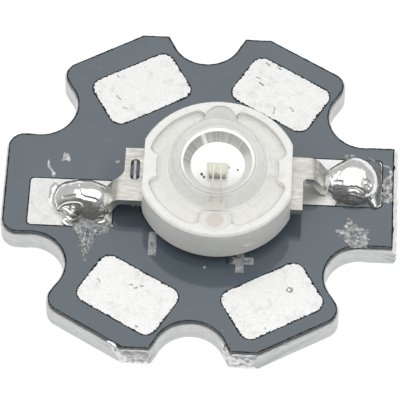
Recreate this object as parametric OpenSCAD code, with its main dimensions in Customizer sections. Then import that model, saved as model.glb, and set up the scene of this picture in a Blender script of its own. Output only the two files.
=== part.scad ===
// Star board with a power LED: an aluminium-core board in the form of a six-lobed star,
// with a lensed emitter soldered on it by its two leads.
// Millimetres, +Z up, origin at the centre of the board's underside, leads along X.

/* [Board outline] */
// Distance from the centre to the end of a lobe
lobe_reach = 10.05; // [9.8:0.05:10.6]
// Width of a lobe between its parallel sides
lobe_w = 6.2; // [5.9:0.05:6.4]
// Radius of the screw notch between two lobes
notch_r = 1.8; // [1.6:0.05:2]
// How far a notch cuts into the sides of its two lobes
notch_bite = 0.025; // [0.02:0.005:0.05]
// Radius of a lobe's routed corners
corner_r = 0.9; // [0.4:0.05:1.2]
// Distance from the centre to the front and back break lines of the panel
break_y = 9.54; // [9.3:0.02:9.8]
// Distance from the centre to the right break line of the panel
break_x = 10; // [9.7:0.05:10.4]
// How far the broken web stands out from a break line
web_out = 0.25; // [0.15:0.01:0.3]
// Depth of the scored groove in the top and in the underside
score_depth = 0.4; // [0.2:0.05:0.5]
// How far the groove in the underside lies outside the one in the top
score_shift = 0.08; // [0:0.01:0.1]
// How far the insulation and the mask stay back from the routed edge
mask_back = 0.1; // [0.04:0.01:0.15]

/* [Board layers] */
// Thickness of the aluminium core
core_t = 1.2; // [1.1:0.05:2]
// Thickness of the insulating layer on the core
insulation_t = 0.1; // [0.05:0.01:0.15]
// Thickness of the copper
copper_t = 0.07; // [0.035:0.005:0.1]
// Thickness of the solder mask above the copper
mask_t = 0.03; // [0.02:0.005:0.05]
// Thickness of the tin on a pad
tin_t = 0.04; // [0.02:0.005:0.06]
// Thickness of the printed polarity marks
ink_t = 0.02; // [0.01:0.005:0.03]

/* [Circuit] */
// Sideways shift of the printed circuit from the board's centre
print_x = 0.36; // [-0.4:0.02:0.4]
// Forward shift of the printed circuit, towards -Y
print_forward = 0.18; // [0:0.02:0.3]
// Length of a wire pad across its lobe
wire_pad_l = 4.6; // [3.6:0.1:4.7]
// Width of a wire pad along its lobe
wire_pad_w = 3.05; // [2.4:0.05:3.2]
// Corner radius of a wire pad
wire_pad_corner_r = 0.6; // [0.2:0.05:0.9]
// Distance from the circuit's centre to the middle of a wire pad
wire_pad_reach = 7.27; // [7:0.01:7.4]
// Length of a lead pad
lead_pad_l = 4.3; // [4.1:0.1:4.4]
// Width of a lead pad
lead_pad_w = 2.8; // [2.4:0.1:3]
// Corner radius of a lead pad
lead_pad_corner_r = 0.2; // [0.1:0.05:0.5]
// Distance from the circuit's centre to the outer end of a lead pad
lead_pad_reach = 9.01; // [8.9:0.01:9.2]
// Distance from the circuit's long axis to the middle of a lead pad
lead_pad_shift = 0.95; // [0.6:0.05:1.1]
// Copper hidden under the mask around each pad
land_margin = 0.2; // [0.1:0.05:0.25]
// How far the copper ring that joins the pads of one side reaches under a wire pad
bus_lap = 0.3; // [0.1:0.05:0.5]
// Gap between the two halves of the circuit
half_gap = 0.8; // [0.4:0.1:1.2]
// Radius of the bare part of the land under the heat slug
slug_window_r = 3.45; // [3.4:0.05:3.6]
// Gap between that land and the copper ring
land_gap = 0.4; // [0.3:0.05:0.5]

/* [Polarity marks] */
// Width of a printed stroke
stroke_w = 0.42; // [0.3:0.02:0.5]
// Length of a printed stroke
stroke_l = 1.4; // [1:0.1:1.5]
// Distance of the plus sign to the right of the circuit's centre
plus_right = 1.92; // [1.7:0.02:2.1]
// Distance of the minus sign to the left of the circuit's centre
minus_left = 2.56; // [2.5:0.02:2.8]
// Distance of the plus sign in front of the circuit's centre
plus_forward = 4.02; // [3.94:0.02:4.1]
// Distance of the minus sign in front of the circuit's centre
minus_forward = 3.22; // [3.2:0.02:3.4]

/* [Emitter body] */
// Distance of the emitter's axis to the right of the circuit's centre
emitter_right = 0.6; // [0.5:0.02:0.64]
// Distance of the emitter's axis in front of the circuit's centre
emitter_forward = 0.1; // [0:0.02:0.2]
// Height of the body's top above the board's top
body_top = 2.55; // [2.4:0.05:2.9]
// Height of the body's moulded wall
body_h = 1.95; // [1.8:0.05:2.05]
// Radius of the body
body_r = 4.1; // [4:0.05:4.3]
// Distance from the emitter's axis to the body's flats
body_flat = 3.76; // [3.7:0.02:3.9]
// Chamfer around the body's top
body_chamfer = 0.1; // [0.05:0.01:0.2]
// Radius of the well that takes the lens flange
well_r = 3.13; // [3:0.01:3.2]
// Radius at the foot of the cone-shaped collar around the slug's neck
collar_foot_r = 1.95; // [1.8:0.01:1.96]
// Width of the collar's top
collar_wall = 0.1; // [0.06:0.01:0.12]
// Depth of the collar's top below the cup's rim
collar_drop = 0.06; // [0.02:0.01:0.1]
// Width of the window in the collar where the wires are bonded
window_w = 0.76; // [0.74:0.01:0.9]
// Distance from the emitter's axis to the near wall of that window
window_near = 1.48; // [1.46:0.01:1.48]
// Distance from the emitter's axis to the far wall of that window
window_far = 2; // [1.99:0.01:2.01]
// Depth of that window, down to the top of the leads
window_depth = 1.05; // [0.95:0.01:1.15]
// Radius of the gate mark on the wall
gate_r = 0.27; // [0.15:0.01:0.3]
// Depth of the gate mark
gate_depth = 0.06; // [0.03:0.01:0.1]
// Distance of the gate mark below the body's top
gate_drop = 1.1; // [0.9:0.05:1.3]
// Angle of the gate mark around the axis
gate_angle = -65; // [-80:1:-60]

/* [Lens and gel] */
// Radius of the clear dome
dome_r = 2.55; // [2.4:0.01:2.6]
// Radius of the hollow in the lens that the gel fills
hollow_r = 2.1; // [2.08:0.01:2.15]
// Thickness of the lens flange and its ears
flange_t = 0.35; // [0.3:0.01:0.45]
// Depth of the flange below the body's top
flange_drop = 0.03; // [0.01:0.01:0.06]
// Gap around the flange and the ears
flange_gap = 0.03; // [0.02:0.01:0.05]
// Outer radius of the recesses for the ears
ear_r = 3.65; // [3.6:0.01:3.66]
// Radial width of those recesses
ear_w = 0.9; // [0.7:0.02:1]
// Angle from the X axis to the round end of an ear
ear_start = 20; // [16:1:24]
// Angle from the Y axis to the other round end of an ear
ear_end = 21; // [20:1:26]
// Radius of the gel ports at the front and back
port_r = 0.8; // [0.6:0.02:0.82]
// Distance from the emitter's axis to the middle of a port
port_reach = 3; // [2.9:0.02:3.04]
// Depth of the ports
port_depth = 0.65; // [0.6:0.01:0.8]
// Width of the channel under the flange through which the gel comes in
channel_w = 0.6; // [0.5:0.02:0.7]
// Distance from the emitter's axis to the inner end of that channel
channel_reach = 1.97; // [1.97:0.005:1.98]
// Depth of the gel below the body's top in the ports
gel_drop = 0.12; // [0.08:0.01:0.2]

/* [Heat slug and die] */
// Radius of the slug's foot
slug_foot_r = 2.6; // [2.3:0.05:2.65]
// Radius of the slug's neck in the body
slug_neck_r = 1.34; // [1.3:0.01:1.36]
// Radius of the cup's mouth
cup_mouth_r = 1.24; // [1.15:0.01:1.27]
// Radius of the cup's floor
cup_floor_r = 0.93; // [0.8:0.01:1]
// Height of the cup's rim above the body's top
cup_rise = 0.16; // [0.1:0.01:0.2]
// Depth of the cup
cup_depth = 0.16; // [0.12:0.01:0.25]
// Thickness of the thermal compound under the slug
compound_t = 0.08; // [0.04:0.01:0.12]
// How far the compound is squeezed out around the slug's foot
compound_margin = 0.1; // [0:0.02:0.1]
// Side of the die
die_w = 0.6; // [0.5:0.02:0.8]
// Thickness of the die
die_t = 0.15; // [0.1:0.01:0.2]
// Thickness of the adhesive under the die
adhesive_t = 0.03; // [0.02:0.005:0.05]
// How far the adhesive shows around the die
adhesive_margin = 0.08; // [0.02:0.01:0.1]
// Place of the die in front of the emitter's axis
die_forward = 0.2; // [0:0.02:0.3]

/* [Leads and wires] */
// Thickness of the lead sheet
lead_t = 0.42; // [0.35:0.01:0.45]
// Distance from the emitter's axis to a lead's tip
lead_tip = 7.25; // [7:0.05:7.5]
// Distance from the emitter's axis to the edge of the right plate
plate_reach_right = 4.37; // [4.2:0.01:4.5]
// Distance from the emitter's axis to the edge of the left plate
plate_reach_left = 4.76; // [4.7:0.01:4.9]
// Distance from the emitter's axis to the plate edge that runs on into the leg
plate_near = 1.52; // [1.45:0.01:1.6]
// Distance from the emitter's axis to the plate's other edge
plate_far = 1.66; // [1.5:0.01:1.7]
// Width of a leg
leg_w = 1.3; // [1.2:0.02:1.32]
// Root fillet of the right leg
root_r_right = 0.2; // [0.1:0.02:0.3]
// Root fillet of the left leg
root_r_left = 0.6; // [0.3:0.02:0.7]
// Angle of the leg's slope
bend_angle = 60; // [50:1:70]
// Inside radius of the leg's bends
bend_r = 0.2; // [0.15:0.01:0.3]
// Straight stretch between the right plate's edge and its leg's first bend
lead_in_right = 0.26; // [0.1:0.02:0.3]
// Straight stretch between the left plate's edge and its leg's first bend
lead_in_left = 0.08; // [0.02:0.02:0.2]
// Length of the slot in the left plate
slot_l = 1.28; // [1:0.02:1.4]
// Width of that slot
slot_w = 0.49; // [0.4:0.01:0.52]
// Distance from the emitter's axis to the middle of the slot
slot_reach = 4.22; // [4.2:0.01:4.28]
// Distance of the slot's middle behind the axis
slot_back = 0.36; // [0.2:0.02:0.5]
// Width of the lead inside the body
anchor_w = 2; // [1.6:0.1:2.2]
// Gap between the slug's neck and a bonding finger
finger_gap = 0.16; // [0.1:0.01:0.18]
// Width of the bonding finger
finger_w = 0.45; // [0.4:0.01:0.5]
// Angle from a lead to the end of its finger
finger_angle = 85; // [82:1:86]
// Angle from the end of a finger back to the wire bonded on it
bond_inset = 3; // [2:1:4]
// Radius of a bond wire
wire_r = 0.03; // [0.02:0.005:0.04]
// Radius of the round knees in a bond wire
knee_r = 0.034; // [0.032:0.001:0.04]
// Distance of a bond wire's start from the die's middle
wire_spread = 0.11; // [0.08:0.01:0.16]
// Rise of a bond wire above the die
wire_rise = 0.3; // [0.25:0.01:0.35]
// Height of a bond wire's outer knee above the cup's rim
wire_room = 0.1; // [0.06:0.01:0.14]
// Distance of that knee outside the cup's rim
wire_turn = 0.26; // [0.25:0.01:0.3]

/* [Solder joints] */
// Radius of the right solder joint
joint_r_right = 1.35; // [1.34:0.01:1.38]
// Distance of its middle from the lead's tip, towards the body
joint_back_right = 0.42; // [0.4:0.02:0.6]
// Radius of the left solder joint
joint_r_left = 1.1; // [1.05:0.01:1.15]
// Height of its axis above the pad
joint_rise_left = 0.3; // [0.2:0.01:0.35]
// How far its axis runs past the lead's tip
joint_past_left = 0.1; // [0:0.05:0.2]
// Length of its axis
joint_l_left = 1; // [0.6:0.05:1.05]

/* [Hidden] */
$fn = 96;
// Small overrun of cutting shapes
over = 0.02;
lobe_step = 60;
lobe_angles = [0, lobe_step, 2 * lobe_step, 3 * lobe_step, 4 * lobe_step, 5 * lobe_step];
wire_pad_angles = [lobe_step, 2 * lobe_step, 4 * lobe_step, 5 * lobe_step];
right_lobe = 0;
// Corners that the router rounded: angle of the lobe, side of the lobe
routed_corners = [
    [lobe_step, -1], [2 * lobe_step, 1], [3 * lobe_step, -1], [3 * lobe_step, 1],
    [4 * lobe_step, -1], [5 * lobe_step, 1]
];

// Heights above the board's underside
insulation_z = core_t;
copper_z = insulation_z + insulation_t;
land_z = copper_z + copper_t;
board_z = land_z + mask_t;
pad_z = land_z + tin_t;
body_top_z = board_z + body_top;
body_foot_z = body_top_z - body_h;
window_z = body_top_z - window_depth;
lead_top_z = window_z;
flange_top_z = body_top_z - flange_drop;
flange_z = flange_top_z - flange_t;
gel_top_z = body_top_z - gel_drop;
slug_z = land_z + compound_t;
rim_z = body_top_z + cup_rise;
cup_floor_z = rim_z - cup_depth;
collar_top_z = rim_z - collar_drop;
port_z = body_top_z - port_depth;
die_z = cup_floor_z + adhesive_t;
die_top_z = die_z + die_t;

// Places in the board's plane
notch_reach = (lobe_w / 2 + notch_r - notch_bite) / sin(lobe_step / 2);
circuit = [print_x, -print_forward, 0];
emitter = circuit + [emitter_right, -emitter_forward, 0];
slug_land_r = slug_window_r + land_margin;
bus_r = slug_land_r + land_gap;
bus_outer_r = wire_pad_reach - wire_pad_w / 2 + bus_lap;
ear_mid_r = ear_r - ear_w / 2;
collar_top_r = slug_neck_r + collar_wall;
finger_r = slug_neck_r + finger_gap;

// Run of a leg from its first bend to its foot, in the lead's side view
bend_mid_r = bend_r + lead_t / 2;
leg_drop = lead_top_z - lead_t - pad_z;
slope_l = (leg_drop - 2 * bend_mid_r * (1 - cos(bend_angle))) / sin(bend_angle);
leg_run = 2 * bend_mid_r * sin(bend_angle) + slope_l * cos(bend_angle);
bend_steps = 10;

// A bond wire leaves the die, passes over the rim and lands on its finger
bond_r = finger_r + finger_w / 2;
bond_angle = finger_angle - bond_inset;
wire_pass_r = slug_neck_r + wire_turn;
wire_pass_z = rim_z + wire_room;

// Rectangle with round corners, centred
module rounded_rect(size, r) {
    square([size.x - 2 * r, size.y], center = true);
    square([size.x, size.y - 2 * r], center = true);
    for (sx = [-1, 1], sy = [-1, 1])
        translate([sx * (size.x / 2 - r), sy * (size.y / 2 - r)]) circle(r);
}

// Part of a flat ring between two angles less than half a turn apart
module ring_sector(r_in, r_out, a_from, a_to) {
    a_mid = (a_from + a_to) / 2;
    far = 2 * r_out / cos((a_to - a_from) / 4);
    intersection() {
        difference() {
            circle(r_out);
            circle(r_in);
        }
        polygon([[0, 0], for (a = [a_from, a_mid, a_to]) far * [cos(a), sin(a)]]);
    }
}

// What a router takes off a corner with its round centre at the origin: side +1 towards +Y, -1 towards -Y
module corner_cut(r, side) {
    difference() {
        translate([0, side > 0 ? 0 : -r - over]) square(r + over);
        circle(r);
    }
}

// One arm of the star along +X
module lobe(reach, back) {
    translate([0, back - lobe_w / 2]) square([reach, lobe_w - 2 * back]);
}

// Web of board that reaches from one arm to the next around a screw notch
module notch_web() {
    half = lobe_step / 2;
    touch = notch_reach - notch_r * sin(half);
    polygon([[0, 0], [touch, -notch_r], [notch_reach, 0], [touch, notch_r]]);
}

// Star outline: back draws in the routed edges, out moves the broken edges outwards
module star(back, out) {
    difference() {
        intersection() {
            union() {
                for (a = lobe_angles) {
                    rotate(a) lobe(a == right_lobe ? break_x + out : lobe_reach - back, back);
                    rotate(a + lobe_step / 2) notch_web();
                }
            }
            square([4 * lobe_reach, 2 * (break_y + out)], center = true);
        }
        for (a = lobe_angles)
            rotate(a + lobe_step / 2) translate([notch_reach, 0]) circle(notch_r + back);
        for (corner = routed_corners)
            rotate(corner[0]) translate([lobe_reach - corner_r, corner[1] * (lobe_w / 2 - corner_r)])
                corner_cut(corner_r - back, corner[1]);
    }
}

// Cutter for the bevel that a scored groove leaves along a break line that faces +Y
module score_bevel(from_y, to_y) {
    rotate([90, 0, 90]) linear_extrude(4 * lobe_reach, center = true)
        polygon([[from_y, -over], [from_y, 0], [to_y, score_depth], [to_y + over, score_depth],
            [to_y + over, -over]]);
}

// Both bevels of a broken edge, in the underside and in the top of the core
module broken_edge(distance) {
    score_bevel(distance + score_shift, distance + web_out);
    translate([0, 0, core_t]) mirror([0, 0, 1]) score_bevel(distance, distance + web_out);
}

// Aluminium core with its broken edges
module base_plate() {
    color("silver")
        difference() {
            linear_extrude(core_t) star(0, web_out);
            broken_edge(break_y);
            rotate(180) broken_edge(break_y);
            rotate(-90) broken_edge(break_x);
        }
}

// Thin insulating layer that carries the copper
module insulation_layer() {
    color("darkkhaki") translate([0, 0, insulation_z]) linear_extrude(insulation_t) star(mask_back, 0);
}

// Outline of the two wire pads on one side: +1 right, -1 left
module wire_pads(side, margin) {
    for (a = wire_pad_angles)
        if (side * cos(a) > 0)
            translate(circuit) rotate(a) translate([wire_pad_reach, 0])
                rounded_rect([wire_pad_w, wire_pad_l] + 2 * margin * [1, 1], wire_pad_corner_r + margin);
}

// Outline of the lead pad on one side
module lead_pad(side, margin) {
    translate(circuit) rotate(side > 0 ? 0 : 180)
        translate([lead_pad_reach - lead_pad_l / 2, lead_pad_shift])
            rounded_rect([lead_pad_l, lead_pad_w] + 2 * margin * [1, 1], lead_pad_corner_r + margin);
}

// Outline of the copper of one side: a half ring that joins three lands
module copper_outline(side) {
    intersection() {
        star(mask_back, 0);
        union() {
            wire_pads(side, land_margin);
            lead_pad(side, land_margin);
            translate(circuit) rotate(side > 0 ? 0 : 180) intersection() {
                difference() {
                    circle(bus_outer_r);
                    circle(bus_r);
                }
                translate([half_gap / 2, -2 * bus_r]) square([2 * bus_r, 4 * bus_r]);
            }
        }
    }
}

module copper_left() {
    color("peru") translate([0, 0, copper_z]) linear_extrude(copper_t) copper_outline(-1);
}

module copper_right() {
    color("peru") translate([0, 0, copper_z]) linear_extrude(copper_t) copper_outline(1);
}

// Round land that takes the heat from the slug
module copper_centre() {
    color("peru") translate(circuit + [0, 0, copper_z]) cylinder(r = slug_land_r, h = copper_t);
}

// Solder mask: fills between the copper, covers it, and leaves the pads and the slug's window bare
module solder_mask() {
    color("dimgray")
        difference() {
            translate([0, 0, copper_z]) linear_extrude(copper_t + mask_t) star(mask_back, 0);
            translate([0, 0, copper_z - over]) linear_extrude(copper_t + over) {
                copper_outline(-1);
                copper_outline(1);
                translate(circuit) circle(slug_land_r);
            }
            translate([0, 0, land_z - copper_t / 2]) linear_extrude(copper_t + mask_t) {
                for (side = [-1, 1]) {
                    wire_pads(side, 0);
                    lead_pad(side, 0);
                }
                translate(circuit) circle(slug_window_r);
            }
        }
}

// Tinned face of a wire pad, by its lobe's angle
module wire_pad_tin(a) {
    color("gainsboro") translate(circuit + [0, 0, land_z]) linear_extrude(tin_t)
        rotate(a) translate([wire_pad_reach, 0]) rounded_rect([wire_pad_w, wire_pad_l], wire_pad_corner_r);
}

// Tinned face of a lead pad
module lead_pad_tin(side) {
    color("gainsboro") translate([0, 0, land_z]) linear_extrude(tin_t) lead_pad(side, 0);
}

module pad_left() { lead_pad_tin(-1); }
module pad_right() { lead_pad_tin(1); }
module pad_back_right() { wire_pad_tin(lobe_step); }
module pad_back_left() { wire_pad_tin(2 * lobe_step); }
module pad_front_left() { wire_pad_tin(4 * lobe_step); }
module pad_front_right() { wire_pad_tin(5 * lobe_step); }

// Printed plus sign
module mark_plus() {
    color("lightgray") translate(circuit + [plus_right, -plus_forward, board_z]) linear_extrude(ink_t) {
        square([stroke_l, stroke_w], center = true);
        square([stroke_w, stroke_l], center = true);
    }
}

// Printed minus sign, drawn along Y
module mark_minus() {
    color("lightgray") translate(circuit + [-minus_left, -minus_forward, board_z]) linear_extrude(ink_t)
        square([stroke_w, stroke_l], center = true);
}

// Disc of thermal compound between the land and the slug
module thermal_compound() {
    color("whitesmoke") translate(emitter + [0, 0, land_z])
        cylinder(r = slug_foot_r + compound_margin, h = compound_t);
}

// Turned slug: foot on the board, neck through the body, cup for the die at its top
module heat_slug() {
    color("silver") translate(emitter) rotate_extrude()
        polygon([[0, slug_z], [slug_foot_r, slug_z], [slug_foot_r, body_foot_z], [slug_neck_r, body_foot_z],
            [slug_neck_r, rim_z], [cup_mouth_r, rim_z], [cup_floor_r, cup_floor_z], [0, cup_floor_z]]);
}

// Kidney-shaped outline of the lens ears, one in each quarter
module ears(gap) {
    for (sx = [0, 1], sy = [0, 1])
        mirror([sx, 0]) mirror([0, sy]) {
            ring_sector(ear_r - ear_w + gap, ear_r - gap, ear_start, 90 - ear_end);
            for (a = [ear_start, 90 - ear_end]) rotate(a) translate([ear_mid_r, 0]) circle(ear_w / 2 - gap);
        }
}

// Outline of the two gel ports beside the dome
module ports() {
    for (s = [-1, 1]) translate([0, s * port_reach]) circle(port_r);
}

// Outline of the ports and of the channels that lead from them to the hollow of the lens
module port_pockets() {
    ports();
    for (a = [0, 180])
        rotate(a) translate([-channel_w / 2, channel_reach]) square([channel_w, port_reach - channel_reach]);
}

// Outline of what the ports leave open beside the dome
module open_ports() {
    difference() {
        ports();
        circle(dome_r);
    }
}

// Outline of the window over the ends of the two bonding fingers
module bond_window() {
    translate([-window_w / 2, -window_far]) square([window_w, window_far - window_near]);
}

// Cone-shaped collar around the slug's neck
module collar() {
    rotate_extrude()
        polygon([[slug_neck_r, flange_z], [collar_foot_r, flange_z], [collar_top_r, collar_top_z],
            [slug_neck_r, collar_top_z]]);
}

// Moulded white body: round with two flats, a well with a collar and a bonding window, recesses for the
// lens ears, and gel ports
module emitter_body() {
    color("white")
        difference() {
            translate(emitter) difference() {
                intersection() {
                    rotate_extrude()
                        polygon([[slug_neck_r, body_foot_z], [body_r, body_foot_z],
                            [body_r, body_top_z - body_chamfer], [body_r - body_chamfer, body_top_z],
                            [well_r, body_top_z], [well_r, flange_z], [collar_foot_r, flange_z],
                            [collar_top_r, collar_top_z], [slug_neck_r, collar_top_z]]);
                    translate([-body_flat, -2 * body_r, 0]) cube([2 * body_flat, 4 * body_r, 2 * body_top_z]);
                }
                translate([0, 0, port_z]) linear_extrude(body_h) port_pockets();
                translate([0, 0, window_z]) linear_extrude(body_h) bond_window();
                translate([0, 0, flange_z]) linear_extrude(body_h) ears(0);
                rotate(gate_angle) translate([body_r - gate_depth, 0, body_top_z - gate_drop])
                    rotate([0, 90, 0]) cylinder(r = gate_r, h = body_r);
            }
            lead_left();
            lead_right();
        }
}

// Points along an arc in a side view
function arc_points(centre, r, a_from, a_to) =
    [for (i = [0:bend_steps])
        let (a = a_from + (a_to - a_from) * i / bend_steps)
        centre + r * [cos(a), sin(a)]];

// Side view of a lead: plate, bend, slope, bend and foot, with X outwards and Z up
module lead_side(bend_x) {
    foot_x = bend_x + leg_run;
    top_bend = [bend_x, lead_top_z - lead_t - bend_r];
    foot_bend = [foot_x, pad_z + lead_t + bend_r];
    polygon(concat(
        [[0, lead_top_z]],
        arc_points(top_bend, bend_r + lead_t, 90, 90 - bend_angle),
        arc_points(foot_bend, bend_r, 270 - bend_angle, 270),
        [[lead_tip, pad_z + lead_t], [lead_tip, pad_z]],
        arc_points(foot_bend, bend_r + lead_t, 270, 270 - bend_angle),
        arc_points(top_bend, bend_r, 90 - bend_angle, 90),
        [[0, lead_top_z - lead_t]]
    ));
}

// Top view of a lead: finger and anchor in the body, plate with an optional slot, filleted leg
module lead_top(plate_reach, root_r, slotted, finger_side) {
    leg_edge = plate_near - leg_w;
    difference() {
        union() {
            translate([body_flat, -plate_far]) square([plate_reach - body_flat, plate_far + plate_near]);
            translate([body_flat, leg_edge]) square([lead_tip - body_flat, leg_w]);
            translate([plate_reach - over, leg_edge - root_r]) square(root_r + over);
            translate([finger_r, -anchor_w / 2]) square([body_flat - finger_r + over, anchor_w]);
            ring_sector(finger_r, finger_r + finger_w, min(0, finger_side * finger_angle),
                max(0, finger_side * finger_angle));
        }
        translate([plate_reach + root_r, leg_edge - root_r]) circle(root_r);
        if (slotted)
            translate([slot_reach, -slot_back]) {
                square([slot_w, slot_l - slot_w], center = true);
                for (s = [-1, 1]) translate([0, s * (slot_l - slot_w) / 2]) circle(slot_w / 2);
            }
        circle(finger_r);
    }
}

// Stamped and bent lead that points along +X from the emitter's axis
module lead(plate_reach, lead_in, root_r, slotted, finger_side) {
    intersection() {
        rotate([90, 0, 0]) linear_extrude(4 * plate_far, center = true)
            lead_side(plate_reach + lead_in);
        linear_extrude(2 * body_top_z) lead_top(plate_reach, root_r, slotted, finger_side);
    }
}

module lead_right() {
    color("lightgray") translate(emitter) lead(plate_reach_right, lead_in_right, root_r_right, false, -1);
}

module lead_left() {
    color("lightgray") translate(emitter) rotate(180)
        lead(plate_reach_left, lead_in_left, root_r_left, true, 1);
}

// Square slab on the cup's floor
module die_slab(w, z, t) {
    translate(emitter + [-w / 2, -die_forward - w / 2, z]) cube([w, w, t]);
}

module die_adhesive() {
    color("gray") die_slab(die_w + 2 * adhesive_margin, cup_floor_z, adhesive_t);
}

module led_die() {
    color("yellowgreen") die_slab(die_w, die_z, die_t);
}

// Straight round bar between two points
module bar(from, to, r) {
    run = to - from;
    l = norm(run);
    translate(from) rotate([0, acos(run.z / l), atan2(run.y, run.x)]) cylinder(r = r, h = l);
}

// Bond wire: straight up from the die, over the cup's rim, down to the finger
module bond_wire(side) {
    start = [side * wire_spread, -die_forward, die_top_z];
    rise = start + [0, 0, wire_rise];
    pass_angle = -90 + side * (90 - bond_angle);
    pass = [wire_pass_r * cos(pass_angle), wire_pass_r * sin(pass_angle), wire_pass_z];
    bond = [bond_r * cos(pass_angle), bond_r * sin(pass_angle), window_z];
    translate(emitter) intersection() {
        union() {
            bar(start, rise, wire_r);
            translate(rise) sphere(knee_r);
            bar(rise, pass, wire_r);
            translate(pass) sphere(knee_r);
            bar(pass, bond + over * (bond - pass) / norm(bond - pass), wire_r);
        }
        translate([-body_r, -body_r, window_z]) cube([2 * body_r, 2 * body_r, body_top_z]);
    }
}

module bond_wire_left() {
    color("gold") bond_wire(-1);
}

module bond_wire_right() {
    color("gold") bond_wire(1);
}

// Hollow under the dome that the gel fills
module lens_hollow() {
    translate([0, 0, body_top_z]) sphere(hollow_r);
    translate([0, 0, flange_z]) cylinder(r = hollow_r, h = body_top_z - flange_z);
}

// Soft clear gel: fills the hollow of the lens, the bonding window and the two ports
module encapsulant_gel() {
    color("lavender", 0.4)
        difference() {
            translate(emitter) {
                difference() {
                    intersection() {
                        lens_hollow();
                        translate([0, 0, flange_z]) cylinder(r = body_r, h = body_top_z);
                    }
                    collar();
                }
                translate([0, 0, window_z]) linear_extrude(collar_top_z - window_z) bond_window();
                translate([0, 0, port_z]) linear_extrude(flange_z - port_z) port_pockets();
                translate([0, 0, flange_z]) linear_extrude(gel_top_z - flange_z) open_ports();
            }
            heat_slug();
            die_adhesive();
            led_die();
            bond_wire_left();
            bond_wire_right();
        }
}

// Clear lens: a dome on a thin flange whose four ears sit in the body's recesses
module lens() {
    color("aliceblue", 0.4) translate(emitter)
        difference() {
            union() {
                translate([0, 0, flange_z]) linear_extrude(flange_t)
                    difference() {
                        union() {
                            circle(well_r - flange_gap);
                            ears(flange_gap);
                        }
                        open_ports();
                    }
                translate([0, 0, flange_z]) cylinder(r = dome_r, h = body_top_z - flange_z);
                intersection() {
                    translate([0, 0, body_top_z]) sphere(dome_r);
                    translate([0, 0, body_top_z]) cylinder(r = body_r, h = dome_r);
                }
            }
            intersection() {
                lens_hollow();
                translate([0, 0, flange_z]) cylinder(r = body_r, h = body_top_z);
            }
        }
}

// Everything above the tinned pads
module above_pads() {
    translate([-2 * lobe_reach, -2 * lobe_reach, pad_z]) cube([4 * lobe_reach, 4 * lobe_reach, body_top_z]);
}

// Round solder joint on the right pad
module solder_right() {
    color("silver")
        difference() {
            intersection() {
                translate([emitter.x + lead_tip - joint_back_right, circuit.y + lead_pad_shift, pad_z])
                    sphere(joint_r_right);
                above_pads();
            }
            lead_right();
        }
}

// Long solder joint on the left pad
module solder_left() {
    leg_y = emitter.y - plate_near + leg_w / 2;
    tip = [emitter.x - lead_tip - joint_past_left, leg_y, pad_z + joint_rise_left];
    color("silver")
        difference() {
            intersection() {
                translate(tip) {
                    sphere(joint_r_left);
                    rotate([0, 90, 0]) cylinder(r = joint_r_left, h = joint_l_left);
                    translate([joint_l_left, 0, 0]) sphere(joint_r_left);
                }
                above_pads();
            }
            lead_left();
        }
}

base_plate();
insulation_layer();
copper_left();
copper_right();
copper_centre();
solder_mask();
pad_left();
pad_right();
pad_back_left();
pad_back_right();
pad_front_left();
pad_front_right();
mark_plus();
mark_minus();
thermal_compound();
heat_slug();
emitter_body();
lead_left();
lead_right();
die_adhesive();
led_die();
bond_wire_left();
bond_wire_right();
encapsulant_gel();
lens();
solder_left();
solder_right();
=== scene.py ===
"""Looks of the star board with a power LED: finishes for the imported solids, and meshes for the lens and gel,
the solder joints, the flux residue, the torn edges, the mask's rims and the wear on the pads.
Lengths are in millimetres, scaled by MM."""

from math import atan2, copysign, cos, exp, hypot, pi, radians, sin, sqrt

import bmesh
import bpy
from mathutils import Matrix, Vector, noise


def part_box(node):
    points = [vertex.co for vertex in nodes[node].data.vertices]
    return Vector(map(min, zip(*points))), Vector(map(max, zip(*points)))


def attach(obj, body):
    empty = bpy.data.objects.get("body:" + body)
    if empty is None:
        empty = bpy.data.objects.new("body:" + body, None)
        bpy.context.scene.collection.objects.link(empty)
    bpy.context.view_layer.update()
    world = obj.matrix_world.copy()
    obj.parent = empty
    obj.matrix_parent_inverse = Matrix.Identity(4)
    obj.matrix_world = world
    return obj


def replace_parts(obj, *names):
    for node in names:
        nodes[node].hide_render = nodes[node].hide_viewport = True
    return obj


MM = 0.001
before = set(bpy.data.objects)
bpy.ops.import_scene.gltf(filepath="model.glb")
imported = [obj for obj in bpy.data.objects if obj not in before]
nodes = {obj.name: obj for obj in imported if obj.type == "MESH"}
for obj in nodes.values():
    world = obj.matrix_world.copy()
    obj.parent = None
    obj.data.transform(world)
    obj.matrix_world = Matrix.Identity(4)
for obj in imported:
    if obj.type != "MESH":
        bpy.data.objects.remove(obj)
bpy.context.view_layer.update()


def box_mm(name):
    """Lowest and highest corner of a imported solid's box, in millimetres."""
    return [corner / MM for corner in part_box(name)]


# Sizes of the emitter that the boxes don't give, in millimetres
FLANGE_DROP = 0.03
FLANGE_T = 0.35
WELL_R = 3.13
WINDOW_R = 2.04
WINDOW_DEPTH = 1.05
WINDOW_HALF_W = 0.38
WINDOW_NEAR = 1.48
WINDOW_FAR = 2.0
COLLAR_TOP_R = 1.44
COLLAR_FOOT_R = 1.95
COLLAR_RISE = 0.1
EAR_R = 3.62
EAR_HALF_W = 0.42
EAR_START = radians(20)
EAR_END = radians(69)
PORT_R = 0.8
PORT_REACH = 3.0
PORT_DEPTH = 0.65
CHANNEL_HALF_W = 0.3
CHANNEL_REACH = 1.97
GEL_DROP = 0.12
CUP_FLOOR_R = 0.93
CUP_MOUTH_R = 1.24
# Compass angles of the painted shade on the cup's back wall and of the painted highlight line on it
SHADED_WALL_ANGLE = radians(108)
PAINTED_GLEAM_ANGLE = radians(115)

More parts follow.
